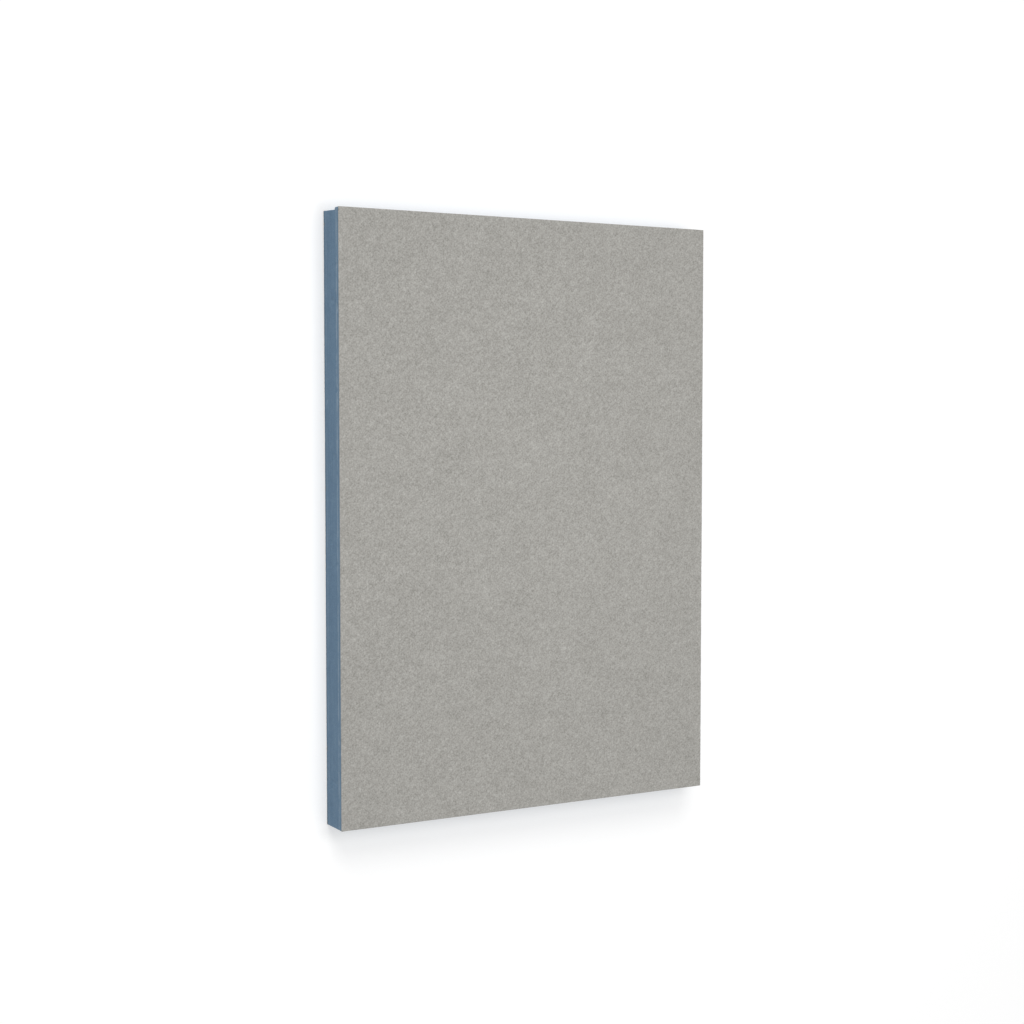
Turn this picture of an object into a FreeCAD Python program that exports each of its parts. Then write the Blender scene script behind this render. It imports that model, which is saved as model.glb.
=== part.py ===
"""Tile backer board: a blue foam slab with a thin grey cement coat on each face.

The board lies flat with its front face up. X runs across the width, Y along the length
and Z through the thickness. The origin is on the floor, under the middle of the board.

The end at +Y was cut from both faces, and the two cuts missed each other a little: the
part next to the front face stands out as a lip, and the rest of the end lies behind it,
leaning outwards towards the back face.
"""

import FreeCAD, Part
import os

# Sizes of the board
BOARD_WIDTH = 600.0
BOARD_LENGTH = 845.0
CORE_THICKNESS = 48.0
FRONT_COAT_THICKNESS = 1.0
BACK_COAT_THICKNESS = 1.0

# The stepped cut at the +Y end
LIP_THICKNESS = 11.5    # foam that stands out below the front coat
SHOULDER_SETBACK = 3.2  # from the end of the lip back to the end of the foam under it
BACK_SETBACK = 1.3      # the same, measured at the back of the foam

# Levels and ends
CORE_BOTTOM = BACK_COAT_THICKNESS
CORE_TOP = CORE_BOTTOM + CORE_THICKNESS
LIP_UNDERSIDE = CORE_TOP - LIP_THICKNESS
NEAR_END = -BOARD_LENGTH / 2
FAR_END = BOARD_LENGTH / 2


def board_solid(side_outline):
    """Carry an outline of (y, z) points across the whole width."""
    left = -BOARD_WIDTH / 2
    points = [FreeCAD.Vector(left, y, z) for y, z in side_outline]
    face = Part.Face(Part.makePolygon(points + points[:1]))
    return face.extrude(FreeCAD.Vector(BOARD_WIDTH, 0, 0))


def foam_core():
    """The foam slab, with the lip and the leaning cut at its +Y end."""
    return board_solid([
        (NEAR_END, CORE_BOTTOM),
        (FAR_END - BACK_SETBACK, CORE_BOTTOM),
        (FAR_END - SHOULDER_SETBACK, LIP_UNDERSIDE),
        (FAR_END, LIP_UNDERSIDE),
        (FAR_END, CORE_TOP),
        (NEAR_END, CORE_TOP),
    ])


def front_cement_coat():
    """The coat on the front face, which reaches the end of the lip."""
    top = CORE_TOP + FRONT_COAT_THICKNESS
    return board_solid([
        (NEAR_END, CORE_TOP),
        (FAR_END, CORE_TOP),
        (FAR_END, top),
        (NEAR_END, top),
    ])


def back_cement_coat():
    """The coat on the back face, which ends where the foam above it ends."""
    end = FAR_END - BACK_SETBACK
    return board_solid([
        (NEAR_END, 0),
        (end, 0),
        (end, CORE_BOTTOM),
        (NEAR_END, CORE_BOTTOM),
    ])


PIECES = {
    "foam_core": foam_core,
    "front_cement_coat": front_cement_coat,
    "back_cement_coat": back_cement_coat,
}

os.makedirs("parts", exist_ok=True)
for node, make in PIECES.items():
    make().exportStep(f"parts/{node}.step")
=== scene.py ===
"""Tile backer board, dressed: a foam slab with a cement coat on both faces, lying flat.

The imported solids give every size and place. The three pieces made here stand for the three
solids and stay inside their boxes: each is the same slab with the relief, the worn arrises
and the cut edges of a real one. Lengths are in metres unless a name or a comment says mm.
"""

import math

import bpy
import numpy as np
from bpy.props import FloatProperty, FloatVectorProperty, PointerProperty
from mathutils import Matrix, Vector


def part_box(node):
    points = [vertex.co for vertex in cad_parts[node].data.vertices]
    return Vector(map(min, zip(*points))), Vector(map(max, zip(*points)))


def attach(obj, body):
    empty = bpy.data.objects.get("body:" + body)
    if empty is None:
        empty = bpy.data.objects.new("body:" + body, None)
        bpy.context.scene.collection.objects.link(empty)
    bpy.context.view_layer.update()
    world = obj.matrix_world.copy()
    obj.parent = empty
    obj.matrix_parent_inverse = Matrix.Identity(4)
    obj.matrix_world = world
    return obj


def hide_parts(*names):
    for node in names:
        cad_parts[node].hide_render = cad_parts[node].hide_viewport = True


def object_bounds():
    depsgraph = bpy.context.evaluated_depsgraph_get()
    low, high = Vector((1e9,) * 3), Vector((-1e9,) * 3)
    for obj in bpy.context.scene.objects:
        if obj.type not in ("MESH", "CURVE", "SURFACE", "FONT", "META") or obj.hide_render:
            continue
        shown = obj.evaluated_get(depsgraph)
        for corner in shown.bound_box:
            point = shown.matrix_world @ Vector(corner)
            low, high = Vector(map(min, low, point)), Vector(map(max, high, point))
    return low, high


bl_info = {
    "name": "Tile Backer Board",
    "version": (1, 0, 0),
    "blender": (4, 5, 0),
    "location": "3D View > Sidebar > Backer Board",
    "description": "Foam-core board with a cement coat on both faces",
    "category": "Add Mesh",
}

MM = 0.001

# Levels that are nearer to each other than this count as one
SAME_PLACE = 1e-6

# Edges that turn by more than this are shaded sharp
SHARP_ANGLE = math.radians(35)

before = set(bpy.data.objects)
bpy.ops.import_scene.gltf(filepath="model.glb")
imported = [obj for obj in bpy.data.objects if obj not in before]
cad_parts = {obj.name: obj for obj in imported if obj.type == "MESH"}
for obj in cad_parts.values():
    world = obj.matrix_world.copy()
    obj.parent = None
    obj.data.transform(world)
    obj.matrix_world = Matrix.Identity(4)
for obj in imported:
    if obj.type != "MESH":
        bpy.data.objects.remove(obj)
CAD_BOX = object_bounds()


def linear(hex_colour):
    """An sRGB hex value such as "#A3A19C" as linear red, green and blue."""
    srgb = np.array([int(hex_colour[i : i + 2], 16) for i in (1, 3, 5)]) / 255
    return tuple(np.where(srgb <= 0.04045, srgb / 12.92, ((srgb + 0.055) / 1.055) ** 2.4))


class CementCoatSettings(bpy.types.PropertyGroup):
    """Sizes and colours of the two cement coats."""

    colour: FloatVectorProperty(
        name="Cement", description="Middle grey of the dry coat",
        subtype="COLOR", size=3, min=0, max=1, default=linear("#A3A19C"),
    )
    pale_colour: FloatVectorProperty(
        name="Pale sand", description="Pale grains and chalky patches",
        subtype="COLOR", size=3, min=0, max=1, default=linear("#BBBAB5"),
    )
    dark_colour: FloatVectorProperty(
        name="Dark sand", description="Dark grains and damp-looking patches",
        subtype="COLOR", size=3, min=0, max=1, default=linear("#898882"),
    )
    mesh_step: FloatProperty(
        name="Mesh step", description="Distance between neighbouring mesh points",
        subtype="DISTANCE", unit="LENGTH", min=1.5 * MM, default=2.6 * MM,
    )
    relief: FloatProperty(
        name="Relief", description="Depth of the unevenness left by spreading the coat",
        subtype="DISTANCE", unit="LENGTH", min=0, default=0.25 * MM,
    )
    arris_radius: FloatProperty(
        name="Arris radius", description="Roundness of the arris between face and edge",
        subtype="DISTANCE", unit="LENGTH", min=0.05 * MM, default=0.6 * MM,
    )
    corner_radius: FloatProperty(
        name="Corner radius", description="Roundness of the corners, seen from above",
        subtype="DISTANCE", unit="LENGTH", min=0.1 * MM, default=0.9 * MM,
    )
    chip_depth: FloatProperty(
        name="Chip depth", description="How far the deepest chips reach in from the arris",
        subtype="DISTANCE", unit="LENGTH", min=0, default=0.7 * MM,
    )


class FoamCoreSettings(bpy.types.PropertyGroup):
    """Sizes and colours of the foam slab's cut edges."""

    colour: FloatVectorProperty(
        name="Foam", description="Blue of the freshly cut foam",
        subtype="COLOR", size=3, min=0, max=1, default=linear("#67849E"),
    )
    pale_colour: FloatVectorProperty(
        name="Bruised foam", description="Crushed cells and scuffs",
        subtype="COLOR", size=3, min=0, max=1, default=linear("#849DB1"),
    )
    # Also the colour of the painted shade in the cells' hollows
    dark_colour: FloatVectorProperty(
        name="Open cells", description="Shaded hollows of torn cells",
        subtype="COLOR", size=3, min=0, max=1, default=linear("#506B83"),
    )
    seam_colour: FloatVectorProperty(
        name="Seams", description="Thin pale lines where layers of the foam are bonded",
        subtype="COLOR", size=3, min=0, max=1, default=linear("#98ABBA"),
    )
    front_seam: FloatProperty(
        name="Front seam", description="How far the front seam lies below the top of the foam",
        subtype="DISTANCE", unit="LENGTH", min=0, default=7.3 * MM,
    )
    back_seam: FloatProperty(
        name="Back seam", description="How far the back seam lies above the bottom of the foam",
        subtype="DISTANCE", unit="LENGTH", min=0, default=6.8 * MM,
    )
    seam_height: FloatProperty(
        name="Seam height",
        description="Height that a seam's thin and thick stretches are multiples of",
        subtype="DISTANCE", unit="LENGTH", min=0.1 * MM, default=2.2 * MM,
    )
    streak_height: FloatProperty(
        name="Streak height", description="Height of the streaks that the cutter left",
        subtype="DISTANCE", unit="LENGTH", min=0.5 * MM, default=1.5 * MM,
    )
    streak_length: FloatProperty(
        name="Streak length", description="Length of the streaks along the edges",
        subtype="DISTANCE", unit="LENGTH", min=1 * MM, default=45 * MM,
    )
    mesh_step: FloatProperty(
        name="Mesh step", description="Distance between neighbouring mesh points",
        subtype="DISTANCE", unit="LENGTH", min=1 * MM, default=1.6 * MM,
    )
    relief: FloatProperty(
        name="Relief", description="Depth of the marks that the cut left",
        subtype="DISTANCE", unit="LENGTH", min=0, default=0.4 * MM,
    )
    dent_depth: FloatProperty(
        name="Dent depth", description="Depth of the dents that handling left",
        subtype="DISTANCE", unit="LENGTH", min=0, default=1.2 * MM,
    )
    corner_radius: FloatProperty(
        name="Corner radius", description="Roundness of the corners, seen from above",
        subtype="DISTANCE", unit="LENGTH", min=0.1 * MM, default=1.3 * MM,
    )


class StudioSettings(bpy.types.PropertyGroup):
    """Camera, lamps and floor."""

    floor_colour: FloatVectorProperty(
        name="Floor", description="Pale studio floor",
        subtype="COLOR", size=3, min=0, max=1, default=linear("#DDDDDD"),
    )
    floor_glow: FloatProperty(
        name="Floor glow", description="Light that only the camera sees on the floor",
        min=0, default=0.40,
    )
    floor_reach: FloatProperty(
        name="Floor reach", description="How far the floor reaches each way from the board's middle",
        subtype="DISTANCE", unit="LENGTH", min=1, default=8,
    )
    sky_strength: FloatProperty(
        name="Sky strength", description="Even light from all round", min=0, default=0.56,
    )
    key_strength: FloatProperty(
        name="Key strength", description="Light of the key on a level face",
        min=0, default=0.2,
    )
    key_direction: FloatVectorProperty(
        name="Key direction", description="Where the key light comes from",
        subtype="XYZ", size=3, default=(-0.3, 1.3, 0.9),
    )
    key_softness: FloatProperty(
        name="Key softness", description="Width of the key light as seen from the board",
        subtype="ANGLE", unit="ROTATION", min=0, default=math.radians(35),
    )
    softbox_strength: FloatProperty(
        name="Softbox strength", description="Light of the softbox on a level face under it",
        min=0, default=0.26,
    )
    softbox_place: FloatVectorProperty(
        name="Softbox place", description="Where the softbox hangs, facing down",
        subtype="TRANSLATION", unit="LENGTH", size=3, default=(0.0, 0.14, 1.37),
    )
    softbox_radius: FloatProperty(
        name="Softbox radius", description="Radius of the softbox's round face",
        subtype="DISTANCE", unit="LENGTH", min=0.01, default=0.3,
    )
    lens_mm: FloatProperty(
        name="Lens", description="Focal length on a 36 mm sensor", min=1, default=61.14,
    )
    camera_place: FloatVectorProperty(
        name="Camera place", description="Where the camera stands",
        subtype="TRANSLATION", unit="LENGTH", size=3, default=(-1.2631, 0.1408, 2.1942),
    )
    turn: FloatProperty(
        name="Camera turn", description="Turn about the board's length, away from straight down",
        subtype="ANGLE", unit="ROTATION", default=math.radians(29.845),
    )
    tip: FloatProperty(
        name="Camera tip", description="Tip towards the board's bottom end",
        subtype="ANGLE", unit="ROTATION", default=math.radians(3.116),
    )


def lattice_noise(points, cell, seed):
    """Smooth random values from -1 to 1 at points of shape (n, 3).

    Space is cut into cells of the given size, one length or one for each axis. Every cell
    corner has a random value, and a point takes its eight corners' values, blended by the
    smooth step 3t^2 - 2t^3 of its place in the cell along each axis.
    """
    size = 1024
    rng = np.random.default_rng(seed)
    order = rng.permutation(size)
    values = rng.uniform(-1, 1, size)
    place = np.asarray(points) / np.asarray(cell)
    corner = np.floor(place).astype(int)
    part = place - corner
    part = part * part * (3 - 2 * part)
    total = np.zeros(len(place))
    for step in np.ndindex(2, 2, 2):
        at = (corner + step) % size
        spot = order[(order[(order[at[:, 0]] + at[:, 1]) % size] + at[:, 2]) % size]
        weight = np.where(step, part, 1 - part).prod(axis=1)
        total += weight * values[spot]
    return total


def noise_sum(points, layers, seed):
    """Sum of lattice noises. Each layer is its cell size in mm and its weight."""
    return sum(
        weight * lattice_noise(points, np.array(size_mm) * MM, seed + place)
        for place, (size_mm, weight) in enumerate(layers))


def lines_between(low, high, step, fine=()):
    """Grid lines from low to high, about a step apart, with finer ones near both ends.

    fine lists the distances of the extra lines from each end.
    """
    steps = np.array([0, *fine])
    near, margin = steps[:-1], steps[-1]
    count = max(1, round((high - low - 2 * margin) / step))
    middle = np.linspace(low + margin, high - margin, count + 1)
    return np.concatenate([low + near, middle, (high - near)[::-1]])


def rounded_corners(x, y, low, high, radius):
    """Points of a rectangle, moved so that its corners become quarter circles.

    In the square of a corner, a point moves along its line from the square's inner corner
    until it lies as far from there as the larger of its two coordinates was.
    """
    inner_x = np.clip(x, low[0] + radius, high[0] - radius)
    inner_y = np.clip(y, low[1] + radius, high[1] - radius)
    arm_x, arm_y = x - inner_x, y - inner_y
    arm = np.hypot(arm_x, arm_y)
    reach = np.maximum(np.abs(arm_x), np.abs(arm_y))
    scale = np.divide(reach, arm, out=np.ones_like(arm), where=arm > 0)
    return inner_x + scale * arm_x, inner_y + scale * arm_y


def rim_of_grid(across, along):
    """Indices of a grid's rim points, anticlockwise from its lowest corner."""
    index = np.arange(across * along).reshape(along, across)
    return np.concatenate([
        index[0, :], index[1:, -1], index[-1, -2::-1], index[-2:0:-1, 0],
    ])


def grid_faces(across, along):
    """The quads of a grid of points that is stored row by row, facing up."""
    index = np.arange(across * along).reshape(along, across)
    return np.stack([
        index[:-1, :-1], index[:-1, 1:], index[1:, 1:], index[1:, :-1],
    ], axis=-1).reshape(-1, 4)


def wall_faces(lower, upper):
    """The quads between two closed rings of point indices, facing out."""
    return np.stack([
        lower, np.roll(lower, -1), np.roll(upper, -1), upper,
    ], axis=-1)


# How many lines of points from each end the end faces of a cap take in
CAP_END_LINES = 5


def cap_faces(ring, across, along, up):
    """Closes a flat ring, stored as rim_of_grid gives it, with strips from side to side.

    Each strip joins two neighbouring points of the left side with their partners on the
    right side. The first and last faces take in the whole ends and CAP_END_LINES lines of
    points, so that no dent in an end reaches past them.
    """
    k = CAP_END_LINES
    bottom = ring[:across]
    right = ring[across - 1 : across + along - 1]
    top = ring[across + along - 2 : 2 * across + along - 2][::-1]
    left = np.concatenate([ring[:1], ring[2 * across + along - 3 :][::-1]])
    first = [*bottom, *right[1 : k + 1], *left[k:0:-1]]
    last = [left[-k - 1], *right[-k - 1 : -1], *top[::-1], *left[-2 : -k - 1 : -1]]
    strips = np.stack([
        left[k : -k - 1], right[k : -k - 1], right[k + 1 : -k], left[k + 1 : -k],
    ], axis=-1).tolist()
    faces = [first, *strips, last]
    return faces if up else [face[::-1] for face in faces]


def make_piece(name, points, faces, material, node, slot, **attributes):
    """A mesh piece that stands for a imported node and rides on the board's one body."""
    mesh = bpy.data.meshes.new(name)
    mesh.from_pydata(points.tolist(), [], faces)
    mesh.update()
    for label, values in attributes.items():
        layer = mesh.attributes.new(label, "FLOAT", "POINT")
        layer.data.foreach_set("value", values.astype(np.float32))
    mesh.shade_smooth()
    mesh.set_sharp_from_angle(angle=SHARP_ANGLE)
    mesh.materials.append(material)
    piece = bpy.data.objects.new(name, mesh)
    bpy.context.scene.collection.objects.link(piece)
    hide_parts(node)
    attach(piece, "root")
    return piece


# Where a surface lies on the whole, as a share of its relief
MIDDLE_DEPTH = 0.5

# The coats' noises, as cell size in mm and weight
COAT_RELIEF = ((90, 0.22), (17, 0.14), (5.5, 0.14))
CHIP_BITES = ((9, 1.0), (3, 0.6))
RAGGED_RIM = ((2.5, 1.0),)
WALL_CRUMBS = ((1.7, 1.0),)
RUBBED_STRETCHES = ((28, 0.4),)

# Distances of the extra grid lines beside the coats' rim, and of the rings down their wall
# as shares of the way from the rim to the foam
COAT_RIM_LINES = np.array([0.12, 0.3, 0.6, 1.0, 1.9]) * MM
COAT_WALL_SHARES = (0.35, 0.7, 1.0)


def coat_surface(node, settings, face_up, seed):
    """Points, faces and wear of one cement coat.

    The surface is a grid over the face, a wall round its rim and strips that close the
    hidden side. Over the face the depth below the nominal plane is a sum of smooth noises:
    long waves left by the spreading blade, then lumps and coarse sand. At the arris it
    drops by a quarter circle. Near the rim the points move inwards by a fine raggedness
    and by the chips, which are the peaks of a noise along the edge. The wear that pales
    the arris and the cut walls is chalky wear and a painted highlight.
    """
    low, high = (np.array(corner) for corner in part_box(node))
    thickness = high[2] - low[2]
    x_lines = lines_between(low[0], high[0], settings.mesh_step, COAT_RIM_LINES)
    y_lines = lines_between(low[1], high[1], settings.mesh_step, COAT_RIM_LINES)
    across, along = len(x_lines), len(y_lines)
    x, y = (a.ravel() for a in np.meshgrid(x_lines, y_lines))
    flat = np.stack([x, y, np.zeros_like(x)], axis=-1)
    side = np.sign(x - (low[0] + high[0]) / 2)
    end = np.sign(y - (low[1] + high[1]) / 2)
    to_side = np.minimum(x - low[0], high[0] - x)
    to_end = np.minimum(y - low[1], high[1] - y)
    to_edge = np.minimum(to_side, to_end)
    x, y = rounded_corners(x, y, low, high, settings.corner_radius)

    depth = settings.relief * (MIDDLE_DEPTH + noise_sum(flat, COAT_RELIEF, seed))
    # Under 1, so that the quarter circle ends short of upright
    steepest = 0.98
    reach = np.clip(1 - to_edge / settings.arris_radius, 0, 1)
    depth = depth + settings.arris_radius * (1 - np.sqrt(1 - steepest * reach * reach))

    bite_threshold = 0.6
    raggedness = 0.12 * MM
    crumb_depth = 0.1 * MM
    fade_width = 5 * MM
    chip_taper = 0.7
    bites = noise_sum(flat, CHIP_BITES, seed + 3) - bite_threshold
    ragged = raggedness * (1 + noise_sum(flat, RAGGED_RIM, seed + 5))
    inward = settings.chip_depth * np.clip(bites, 0, 1) + ragged
    out_x = side * np.clip(1 - to_side / fade_width, 0, 1)
    out_y = end * np.clip(1 - to_end / fade_width, 0, 1)
    length = np.maximum(np.hypot(out_x, out_y), 1)
    out_x, out_y = out_x / length, out_y / length
    grid = np.stack([x - out_x * inward, y - out_y * inward, depth], axis=-1)

    rim = rim_of_grid(across, along)
    rings = [grid[rim]]
    indices = [rim]
    for share in COAT_WALL_SHARES:
        drop = depth[rim] + (thickness - depth[rim]) * share
        wall = np.stack([x[rim], y[rim], drop], axis=-1)
        crumbs = crumb_depth * (1 + noise_sum(wall, WALL_CRUMBS, seed + 6))
        bite = inward[rim] * (1 - share) ** chip_taper + crumbs * (share < 1)
        wall[:, 0] -= out_x[rim] * bite
        wall[:, 1] -= out_y[rim] * bite
        rings.append(wall)
        indices.append(len(grid) + len(rim) * (len(indices) - 1) + np.arange(len(rim)))
    points = np.concatenate([grid, *rings[1:]])
    faces = grid_faces(across, along).tolist()
    for upper, lower in zip(indices[:-1], indices[1:]):
        faces += wall_faces(lower, upper).tolist()
    faces += cap_faces(indices[-1], across, along, up=False)

    if face_up:
        points[:, 2] = high[2] - points[:, 2]
    else:
        points[:, 2] = low[2] + points[:, 2]
        faces = [face[::-1] for face in faces]
    # The wear pales the arris and the cut walls: chalky wear and a painted highlight
    edge = np.concatenate([to_edge, np.zeros(len(points) - len(grid))])
    wear_and_highlight_width = 2.2 * MM
    rubbed_middle = 0.75
    rubbed = rubbed_middle + noise_sum(points, RUBBED_STRETCHES, seed + 7)
    worn = np.exp(-edge / wear_and_highlight_width) * rubbed
    return points, faces, worn


def end_outline(node, low, high):
    """How far the node's far end lies back from its outermost plane, from bottom to top.

    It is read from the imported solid's own corners, as two arrays: levels and setbacks.
    """
    corners = np.array([v.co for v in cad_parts[node].data.vertices])
    far = corners[corners[:, 1] > (low[1] + high[1]) / 2]
    pairs = np.unique(np.round(far[:, 1:], 6), axis=0)
    pairs = pairs[np.lexsort((pairs[:, 0], pairs[:, 1]))]
    return pairs[:, 1], high[1] - pairs[:, 0]


# The foam's noises, as cell size in mm and weight. The size of the streaks is a setting
TORN_CELLS = ((2.2, 0.1),)
CUTTER_WAVES = ((70, 0.22),)
DENT_PEAKS = (((15, 15, 10), 1.0), (4, 0.3))
CRUSHED_STRETCHES = ((11, 1.0),)
LIP_WOBBLE = ((23, 1.0),)
STREAK_WEIGHT = 0.18

# The mesh is coarser than the material, so its streaks are this many times as high
MESH_STREAK_FACTOR = 3

# How deep a crushed arris lies, as a share of the relief, and how worn a full dent looks
CRUSHED_WEIGHT = 0.3
DENT_WEAR = 0.8

# Distances of the extra points beside the foam's corners
FOAM_CORNER_LINES = np.array([0.4, 0.8, 1.3]) * MM


def foam_surface(node, settings, seed):
    """Points, faces and wear of the foam slab.

    A ring of points round the board is carried up from level to level, and strips close
    the two hidden faces. The ring's far side lies back by the outline of the cut end, and
    the points of the long sides keep their share of the length. Every wall point then
    moves inwards by a sum of smooth noises: long waves of the cutter's path, the long low
    streaks that it left, torn cells, arrises crushed by spreading the coats, and here and
    there a dent, which is the peak of a noise. The lip's lower corner also wavers up and
    down by a noise along the width.
    """
    low, high = (np.array(corner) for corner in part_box(node))
    x_lines = lines_between(low[0], high[0], settings.mesh_step, FOAM_CORNER_LINES)
    y_lines = lines_between(low[1], high[1], settings.mesh_step, FOAM_CORNER_LINES)
    across, along = len(x_lines), len(y_lines)
    x, y = (a.ravel() for a in np.meshgrid(x_lines, y_lines))
    rim = rim_of_grid(across, along)
    x, y = x[rim], y[rim]

    knots, setbacks = end_outline(node, low, high)
    # The lip's underside slopes up by lip_rise, so that its two levels are apart
    lip_rise = 0.6 * MM
    lip_corner = int(np.argmin(np.abs(setbacks[1:] - setbacks[:-1] + setbacks.max()))) + 1
    knots[lip_corner] += lip_rise
    levels = [knots[:1]]
    for below, above in zip(knots[:-1], knots[1:]):
        steps = max(1, round((above - below) / settings.mesh_step))
        levels.append(np.linspace(below, above, steps + 1)[1:])
    levels = np.concatenate(levels)

    count = len(rim)
    x = np.tile(x, len(levels))
    y = np.tile(y, len(levels))
    z = np.repeat(levels, count)
    flat = np.stack([x, y, z], axis=-1)
    to_face = np.minimum(z - low[2], high[2] - z)
    setback = np.interp(z, knots, setbacks) * (y - low[1]) / (high[1] - low[1])

    streaks = ((settings.streak_length / MM, settings.streak_length / MM,
                MESH_STREAK_FACTOR * settings.streak_height / MM), STREAK_WEIGHT)
    crush_height = 1.2 * MM
    dent_threshold, dent_range = 0.62, 0.4
    least_depth = 0.02 * MM
    crushed = np.exp(-to_face / crush_height) * (1 + noise_sum(flat, CRUSHED_STRETCHES, seed + 3))
    peaks = noise_sum(flat, DENT_PEAKS, seed + 5)
    dents = np.clip((peaks - dent_threshold) / dent_range, 0, 1)
    depth = settings.relief * (
        MIDDLE_DEPTH + noise_sum(flat, (*CUTTER_WAVES, streaks, *TORN_CELLS), seed)
        + CRUSHED_WEIGHT * crushed)
    depth = np.maximum(depth, least_depth) + settings.dent_depth * dents

    radius = settings.corner_radius
    x, y = rounded_corners(x, y, low, high, radius)
    out_x = (x - np.clip(x, low[0] + radius, high[0] - radius)) / radius
    out_y = (y - np.clip(y, low[1] + radius, high[1] - radius)) / radius
    on_end = (out_y > 0) & (z > low[2] + SAME_PLACE) & (z < high[2] - SAME_PLACE)
    wobble_height, wobble_reach = 0.5 * MM, 2.5 * MM
    shoulder = np.exp(-np.abs(z - knots[lip_corner]) / wobble_reach)
    wobble = wobble_height * shoulder * noise_sum(flat * [1, 0, 0], LIP_WOBBLE, seed + 4)
    points = np.stack([
        x - out_x * depth, y - setback - out_y * depth, z + wobble * on_end], axis=-1)

    faces = []
    for k in range(len(levels) - 1):
        lower = k * count + np.arange(count)
        faces += wall_faces(lower, lower + count).tolist()
    faces += cap_faces(np.arange(count), across, along, up=False)
    faces += cap_faces((len(levels) - 1) * count + np.arange(count), across, along, up=True)
    worn_height = 1.8 * MM
    worn = np.clip(np.exp(-to_face / worn_height) + DENT_WEAR * dents, 0, 1)
    return points, faces, worn


def add_node(tree, kind, inputs=None, **settings):
    """Add a node with its own settings, and values or other nodes' outputs on its sockets."""
    node = tree.nodes.new(kind)
    for name, value in settings.items():
        setattr(node, name, value)
    for name, value in (inputs or {}).items():
        if isinstance(value, bpy.types.NodeSocket):
            tree.links.new(value, node.inputs[name])
        else:
            node.inputs[name].default_value = value
    return node


def per_metre(size_mm):
    """The scale of a pattern whose features are that many millimetres apart."""
    return 1 / (size_mm * MM)


def new_material(name):
    """An empty node material, its tree and its output node."""
    material = bpy.data.materials.new(name)
    material.use_nodes = True
    tree = material.node_tree
    tree.nodes.clear()
    return material, tree, add_node(tree, "ShaderNodeOutputMaterial")


# Sockets of the colour form of the Mix node
MIX_A, MIX_B, MIX_RESULT = 6, 7, 2

# Tones at which a mottled surface has its dark, middle and pale colour
DARK_TONE, MIDDLE_TONE, PALE_TONE = 0.2, 0.5, 0.8

# Heights of the grain that is too fine for the mesh
SAND_HEIGHT = 0.18 * MM
CELL_HEIGHT = 0.4 * MM

# Shares of the pale colour on worn places, which on the cement's arris is also a painted highlight
CHALK_AND_HIGHLIGHT_SHARE = 0.12
CRUSHED_SHARE = 0.35

# The cement's strands: slants in degrees, and length as a multiple of their width
STRAND_SLANTS = (38, 82, 140)
STRAND_STRETCH = 3.5

# A turn in radians that keeps the foam's grain from lining up with the board
GRAIN_TURN = (0.7, 0.5, 0.4)

# The foam's cells: size as drawn, how far the painted shade of a cell's hollows reaches from
# its middle in cell sizes, how dark that painted shade is, and the cells' weight in the bump
CELL_SIZE_MM = 1.6
PAINTED_CELL_SHADE_REACH = 0.35
PAINTED_CELL_SHADE = 0.3
CELL_BUMP_WEIGHT = 0.5

# The foam's scuffs: width, length as a multiple of it, the noise values between which a
# scuff fades in, and the share of the pale colour on it
SCUFF_WIDTH_MM = 2.4
SCUFF_STRETCH = 7
SCUFF_FROM, SCUFF_TO = 0.63, 0.76
SCUFF_SHARE = 0.5

# The foam's seams: how strongly each shows, how far it fades out, the length of its thick
# and thin stretches, the noise values at its thinnest and thickest, and its height there
# as a multiple of the set height, where under 0 is a gap
FRONT_SEAM_STRENGTH = 0.7
BACK_SEAM_STRENGTH = 0.3
SEAM_FADE = 1.0 * MM
SEAM_STRETCH_MM = 42
SEAM_FROM, SEAM_TO = 0.36, 0.64
SEAM_THINNEST, SEAM_THICKEST = -0.5, 1.6


def mottled(tree, layers, settings):
    """Tone and colour of a mottled surface: noises added up, from dark through to pale.

    Each layer is its coordinates, the size of its features in mm, its octaves and its
    weight. The tone is the middle one plus every noise's distance from 0.5, weighted.
    """
    tone = MIDDLE_TONE - sum(weight for *_, weight in layers) / 2
    for place, size_mm, octaves, weight in layers:
        noise = add_node(tree, "ShaderNodeTexNoise", {
            "Vector": place, "Scale": per_metre(size_mm), "Detail": octaves,
            "Roughness": 0.6})
        tone = add_node(tree, "ShaderNodeMath", {
            0: noise.outputs["Fac"], 1: weight, 2: tone}, operation="MULTIPLY_ADD").outputs[0]
    shade = add_node(tree, "ShaderNodeValToRGB", {"Fac": tone})
    ramp = shade.color_ramp
    ramp.elements[0].position, ramp.elements[1].position = DARK_TONE, PALE_TONE
    ramp.elements[0].color = (*settings.dark_colour, 1)
    ramp.elements[1].color = (*settings.pale_colour, 1)
    middle = ramp.elements.new(MIDDLE_TONE)
    middle.color = (*settings.colour, 1)
    return tone, shade.outputs["Color"]


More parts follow.
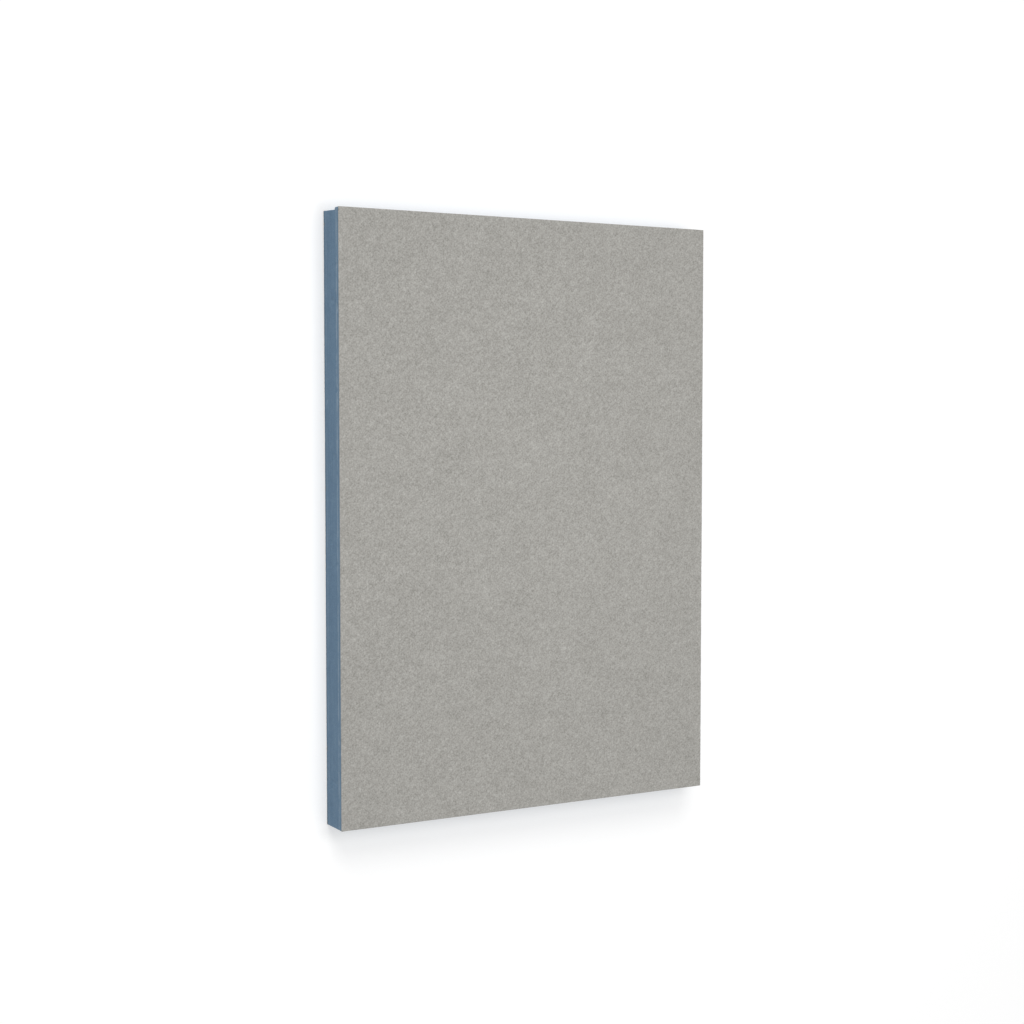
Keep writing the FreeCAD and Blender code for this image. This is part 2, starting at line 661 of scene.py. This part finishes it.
def cement_material(settings):
    """Dry polymer-modified cement with fine quartz sand, spread with a blade.

    It gives a dead matt grey of sand grains a shade lighter or darker than the binder,
    short pale strands that the blade dragged out, mostly slanting, soft clouds where it
    dried unevenly and a paler arris, which is chalky wear and a painted highlight. The real
    sand is 0.5 mm. It is drawn four to five times as coarse, and the strands as wide as
    that, so that they show.
    """
    material, tree, output = new_material("blade_spread_cement")
    place = add_node(tree, "ShaderNodeTexCoord").outputs["Object"]
    strands = [
        add_node(tree, "ShaderNodeMapping", {
            "Vector": place, "Rotation": (0, 0, math.radians(slant)),
            "Scale": (STRAND_STRETCH, 1, 1)}, vector_type="TEXTURE").outputs[0]
        for slant in STRAND_SLANTS]
    tone, shade = mottled(tree, (
        (place, 66, 2, 0.10),
        (place, 22, 2, 0.12),
        (place, 7.5, 3, 0.20),
        (place, 2.1, 4, 1.12),
        (strands[0], 2.45, 1, 0.30),
        (strands[1], 2.25, 1, 0.24),
        (strands[2], 2.05, 1, 0.24),
    ), settings)

    # Wear, which on the coats also paints a highlight along the arris
    worn = add_node(tree, "ShaderNodeAttribute", attribute_name="worn").outputs["Fac"]
    chalk_and_highlight = add_node(tree, "ShaderNodeMath", {0: worn, 1: CHALK_AND_HIGHLIGHT_SHARE}, operation="MULTIPLY")
    colour = add_node(tree, "ShaderNodeMix", {
        0: chalk_and_highlight.outputs[0], MIX_A: shade,
        MIX_B: (*settings.pale_colour, 1)}, data_type="RGBA")

    bump = add_node(tree, "ShaderNodeBump", {
        "Height": tone, "Distance": SAND_HEIGHT, "Strength": 1.0})
    surface = add_node(tree, "ShaderNodeBsdfPrincipled", {
        "Base Color": colour.outputs[MIX_RESULT], "Roughness": 0.95,
        "IOR": 1.5, "Normal": bump.outputs["Normal"]})
    tree.links.new(surface.outputs[0], output.inputs["Surface"])
    return material


def seam_amount(tree, level, middle, height, strength):
    """How much a seam shows: fully within its uneven height, and fading out beside it."""
    offset = add_node(tree, "ShaderNodeMath", {0: level, 1: middle}, operation="SUBTRACT")
    distance = add_node(tree, "ShaderNodeMath", {0: offset.outputs[0]}, operation="ABSOLUTE")
    outside = add_node(tree, "ShaderNodeMath", {
        0: height, 1: -0.5, 2: distance.outputs[0]}, operation="MULTIPLY_ADD")
    return add_node(tree, "ShaderNodeMapRange", {
        "Value": outside.outputs[0], "From Min": 0.0, "From Max": SEAM_FADE,
        "To Min": strength, "To Max": 0.0}).outputs[0]


def foam_material(settings, bottom, top):
    """Extruded polystyrene foam, trimmed with a rotary cutter.

    It gives a matt blue of fine closed cells, with painted shade in their hollows that
    leaves their walls paler, and paler where they are crushed. Faint streaks of the cutter
    and a few scuffs run along the edges, and so does a thin uneven pale seam near each
    face, where layers of the foam are bonded. The real cells are 0.2 mm, and they are
    drawn about eight times as coarse, so that they show.
    """
    material, tree, output = new_material("trimmed_polystyrene_foam")
    place = add_node(tree, "ShaderNodeTexCoord").outputs["Object"]
    stretch = settings.streak_length / settings.streak_height
    along_edge = add_node(tree, "ShaderNodeMapping", {
        "Vector": place, "Scale": (stretch, stretch, 1)}, vector_type="TEXTURE").outputs[0]
    turned = add_node(tree, "ShaderNodeMapping", {
        "Vector": place, "Rotation": GRAIN_TURN}, vector_type="TEXTURE").outputs[0]
    scratched = add_node(tree, "ShaderNodeMapping", {
        "Vector": place, "Scale": (SCUFF_STRETCH, SCUFF_STRETCH, 1)},
        vector_type="TEXTURE").outputs[0]
    tone, shade = mottled(tree, (
        (place, 110, 2, 0.12),
        (turned, 16, 3, 0.18),
        (turned, 1.8, 4, 0.55),
        (along_edge, settings.streak_height / MM, 3, 0.30),
    ), settings)

    cells = add_node(tree, "ShaderNodeTexVoronoi", {
        "Vector": turned, "Scale": per_metre(CELL_SIZE_MM), "Randomness": 1.0})
    # Painted shade: each cell's middle, where its hollows are, darkened towards the dark colour
    painted_cell_shade = add_node(tree, "ShaderNodeMapRange", {
        "Value": cells.outputs["Distance"], "From Min": 0.0, "From Max": PAINTED_CELL_SHADE_REACH,
        "To Min": PAINTED_CELL_SHADE, "To Max": 0.0})
    with_painted_cell_shade = add_node(tree, "ShaderNodeMix", {
        0: painted_cell_shade.outputs[0], MIX_A: shade,
        MIX_B: (*settings.dark_colour, 1)}, data_type="RGBA")

    scuffs = add_node(tree, "ShaderNodeTexNoise", {
        "Vector": scratched, "Scale": per_metre(SCUFF_WIDTH_MM), "Detail": 3,
        "Roughness": 0.7})
    scuffed = add_node(tree, "ShaderNodeMapRange", {
        "Value": scuffs.outputs["Fac"], "From Min": SCUFF_FROM, "From Max": SCUFF_TO,
        "To Min": 0.0, "To Max": SCUFF_SHARE})
    worn = add_node(tree, "ShaderNodeAttribute", attribute_name="worn").outputs["Fac"]
    bruise = add_node(tree, "ShaderNodeMath", {0: worn, 1: CRUSHED_SHARE, 2: scuffed.outputs[0]},
                      operation="MULTIPLY_ADD")
    bruised = add_node(tree, "ShaderNodeMix", {
        0: bruise.outputs[0], MIX_A: with_painted_cell_shade.outputs[MIX_RESULT],
        MIX_B: (*settings.pale_colour, 1)}, data_type="RGBA")

    unevenness = add_node(tree, "ShaderNodeTexNoise", {
        "Vector": place, "Scale": per_metre(SEAM_STRETCH_MM), "Detail": 6,
        "Roughness": 0.8})
    seam_height = add_node(tree, "ShaderNodeMapRange", {
        "Value": unevenness.outputs["Fac"], "From Min": SEAM_FROM, "From Max": SEAM_TO,
        "To Min": SEAM_THINNEST * settings.seam_height,
        "To Max": SEAM_THICKEST * settings.seam_height}).outputs[0]
    level = add_node(tree, "ShaderNodeSeparateXYZ", {"Vector": place}).outputs["Z"]
    front = seam_amount(
        tree, level, top - settings.front_seam, seam_height, FRONT_SEAM_STRENGTH)
    back = seam_amount(
        tree, level, bottom + settings.back_seam, seam_height, BACK_SEAM_STRENGTH)
    seams = add_node(tree, "ShaderNodeMath", {0: front, 1: back}, operation="ADD")
    colour = add_node(tree, "ShaderNodeMix", {
        0: seams.outputs[0], MIX_A: bruised.outputs[MIX_RESULT],
        MIX_B: (*settings.seam_colour, 1)}, data_type="RGBA")

    grain = add_node(tree, "ShaderNodeMath", {
        0: cells.outputs["Distance"], 1: CELL_BUMP_WEIGHT, 2: tone}, operation="MULTIPLY_ADD")
    bump = add_node(tree, "ShaderNodeBump", {
        "Height": grain.outputs[0], "Distance": CELL_HEIGHT, "Strength": 1.0})
    surface = add_node(tree, "ShaderNodeBsdfPrincipled", {
        "Base Color": colour.outputs[MIX_RESULT], "Roughness": 0.85,
        "IOR": 1.5, "Normal": bump.outputs["Normal"]})
    tree.links.new(surface.outputs[0], output.inputs["Surface"])
    return material


def seen_directly(tree):
    """1 for what the camera sees, straight or through gloss and glass, and 0 for light."""
    path = add_node(tree, "ShaderNodeLightPath")
    seen = add_node(tree, "ShaderNodeMath", {
        0: path.outputs["Is Camera Ray"], 1: path.outputs["Is Glossy Ray"]},
        operation="MAXIMUM")
    return add_node(tree, "ShaderNodeMath", {
        0: seen.outputs[0], 1: path.outputs["Is Transmission Ray"]},
        operation="MAXIMUM").outputs[0]


def floor_material(settings):
    """Pale studio card. A glow that only the camera sees lifts it to white by the board."""
    material, tree, output = new_material("pale_studio_card")
    matt = add_node(tree, "ShaderNodeBsdfDiffuse", {"Color": (*settings.floor_colour, 1)})
    lift = add_node(tree, "ShaderNodeMath", {
        0: seen_directly(tree), 1: settings.floor_glow}, operation="MULTIPLY")
    glow = add_node(tree, "ShaderNodeEmission", {"Strength": lift.outputs[0]})
    both = add_node(tree, "ShaderNodeAddShader")
    tree.links.new(matt.outputs[0], both.inputs[0])
    tree.links.new(glow.outputs[0], both.inputs[1])
    tree.links.new(both.outputs[0], output.inputs["Surface"])
    return material


def make_world(settings):
    """Even white light from all round, which the camera sees as bright as the far floor.

    That is the floor's colour times sky and key, plus its glow, so that no horizon shows.
    """
    lit = settings.sky_strength + settings.key_strength
    far_floor = settings.floor_colour[0] * lit + settings.floor_glow
    world = bpy.data.worlds.new("studio")
    world.use_nodes = True
    tree = world.node_tree
    tree.nodes.clear()
    strength = add_node(tree, "ShaderNodeMapRange", {
        "Value": seen_directly(tree), "To Min": settings.sky_strength,
        "To Max": far_floor})
    light = add_node(tree, "ShaderNodeBackground", {
        "Color": (1, 1, 1, 1), "Strength": strength.outputs[0]})
    output = add_node(tree, "ShaderNodeOutputWorld")
    tree.links.new(light.outputs[0], output.inputs["Surface"])
    bpy.context.scene.world = world


def make_sun(name, direction, softness, share):
    """A soft sun that gives a level white face that share of full brightness."""
    away = Vector(direction).normalized()
    data = bpy.data.lights.new(name, "SUN")
    data.angle = softness
    data.energy = share * math.pi / away.z
    lamp = bpy.data.objects.new(name, data)
    lamp.rotation_euler = away.to_track_quat("Z", "Y").to_euler()
    bpy.context.scene.collection.objects.link(lamp)
    return lamp


def make_softbox(name, place, radius, share, face_level):
    """A round lamp that faces down and gives a level white face under it that share.

    A disc of radius R and power P lights a face at the distance h below its middle with
    P / (pi (R^2 + h^2)), and pi is full brightness. The camera doesn't see the lamp.
    """
    data = bpy.data.lights.new(name, "AREA")
    data.shape = "DISK"
    data.size = 2 * radius
    data.energy = share * math.pi**2 * (radius**2 + (place[2] - face_level) ** 2)
    lamp = bpy.data.objects.new(name, data)
    lamp.location = place
    lamp.visible_camera = False
    bpy.context.scene.collection.objects.link(lamp)
    return lamp


class BOARD_OT_front_coat(bpy.types.Operator):
    """Make the cement coat of the front face"""

    bl_idname = "backer_board.front_coat"
    bl_label = "Front Cement Coat"

    def execute(self, context):
        settings = context.scene.cement_coat
        points, faces, worn = coat_surface("front_cement_coat", settings, True, seed=11)
        make_piece("front_coat", points, faces, cement_material(settings),
                   "front_cement_coat", "grey_cement_coat", worn=worn)
        return {"FINISHED"}


class BOARD_OT_back_coat(bpy.types.Operator):
    """Make the cement coat of the back face"""

    bl_idname = "backer_board.back_coat"
    bl_label = "Back Cement Coat"

    def execute(self, context):
        settings = context.scene.cement_coat
        points, faces, worn = coat_surface("back_cement_coat", settings, False, seed=31)
        material = bpy.data.materials.get("blade_spread_cement") or cement_material(settings)
        make_piece("back_coat", points, faces, material,
                   "back_cement_coat", "grey_cement_coat", worn=worn)
        return {"FINISHED"}


class BOARD_OT_foam_slab(bpy.types.Operator):
    """Make the foam slab with its cut edges"""

    bl_idname = "backer_board.foam_slab"
    bl_label = "Foam Slab"

    def execute(self, context):
        settings = context.scene.foam_core
        points, faces, worn = foam_surface("foam_core", settings, seed=51)
        low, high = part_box("foam_core")
        material = foam_material(settings, low.z, high.z)
        make_piece("foam_slab", points, faces, material,
                   "foam_core", "blue_foam", worn=worn)
        return {"FINISHED"}


class BOARD_OT_studio(bpy.types.Operator):
    """Make the floor, the lamps and the camera"""

    bl_idname = "backer_board.studio"
    bl_label = "Studio"

    def execute(self, context):
        settings = context.scene.studio
        floor_level = CAD_BOX[0][2]
        reach = settings.floor_reach
        corners = [(-reach, -reach), (reach, -reach), (reach, reach), (-reach, reach)]
        mesh = bpy.data.meshes.new("floor")
        mesh.from_pydata([(x, y, floor_level) for x, y in corners], [], [(0, 1, 2, 3)])
        mesh.materials.append(floor_material(settings))
        floor = bpy.data.objects.new("floor", mesh)
        context.scene.collection.objects.link(floor)

        make_world(settings)
        make_sun("key", settings.key_direction, settings.key_softness,
                 settings.key_strength)
        make_softbox("softbox", settings.softbox_place, settings.softbox_radius,
                     settings.softbox_strength, CAD_BOX[1][2])

        data = bpy.data.cameras.new("camera")
        data.sensor_width = 36
        data.lens = settings.lens_mm
        camera = bpy.data.objects.new("camera", data)
        turn, tip = settings.turn, settings.tip
        ahead = Vector((
            math.sin(turn) * math.cos(tip), -math.sin(tip), -math.cos(turn) * math.cos(tip)))
        above = Vector((
            math.sin(turn) * math.sin(tip), math.cos(tip), -math.cos(turn) * math.sin(tip)))
        aside = ahead.cross(above)
        facing = Matrix((aside, above, -ahead)).transposed().to_4x4()
        camera.matrix_world = Matrix.Translation(settings.camera_place) @ facing
        context.scene.collection.objects.link(camera)
        context.scene.camera = camera
        context.scene.view_settings.view_transform = "Standard"
        return {"FINISHED"}


class BOARD_PT_sidebar(bpy.types.Panel):
    """Lists the settings and the steps in the 3D view's sidebar."""

    bl_idname = "BOARD_PT_sidebar"
    bl_label = "Tile Backer Board"
    bl_space_type = "VIEW_3D"
    bl_region_type = "UI"
    bl_category = "Backer Board"

    def draw(self, context):
        for group in SETTINGS:
            settings = getattr(context.scene, group)
            box = self.layout.box()
            for name in settings.__annotations__:
                box.prop(settings, name)
        for step in STEPS:
            self.layout.operator(step.bl_idname)


STEPS = (BOARD_OT_front_coat, BOARD_OT_back_coat, BOARD_OT_foam_slab, BOARD_OT_studio)
SETTINGS = {
    "cement_coat": CementCoatSettings,
    "foam_core": FoamCoreSettings,
    "studio": StudioSettings,
}


def register():
    for name, group in SETTINGS.items():
        bpy.utils.register_class(group)
        setattr(bpy.types.Scene, name, PointerProperty(type=group))
    for step in STEPS:
        bpy.utils.register_class(step)
    bpy.utils.register_class(BOARD_PT_sidebar)


def unregister():
    bpy.utils.unregister_class(BOARD_PT_sidebar)
    for step in reversed(STEPS):
        bpy.utils.unregister_class(step)
    for name, group in SETTINGS.items():
        delattr(bpy.types.Scene, name)
        bpy.utils.unregister_class(group)


def main():
    register()
    bpy.ops.backer_board.studio()
    bpy.ops.backer_board.front_coat()
    bpy.ops.backer_board.back_coat()
    bpy.ops.backer_board.foam_slab()


if __name__ == "__main__":
    main()
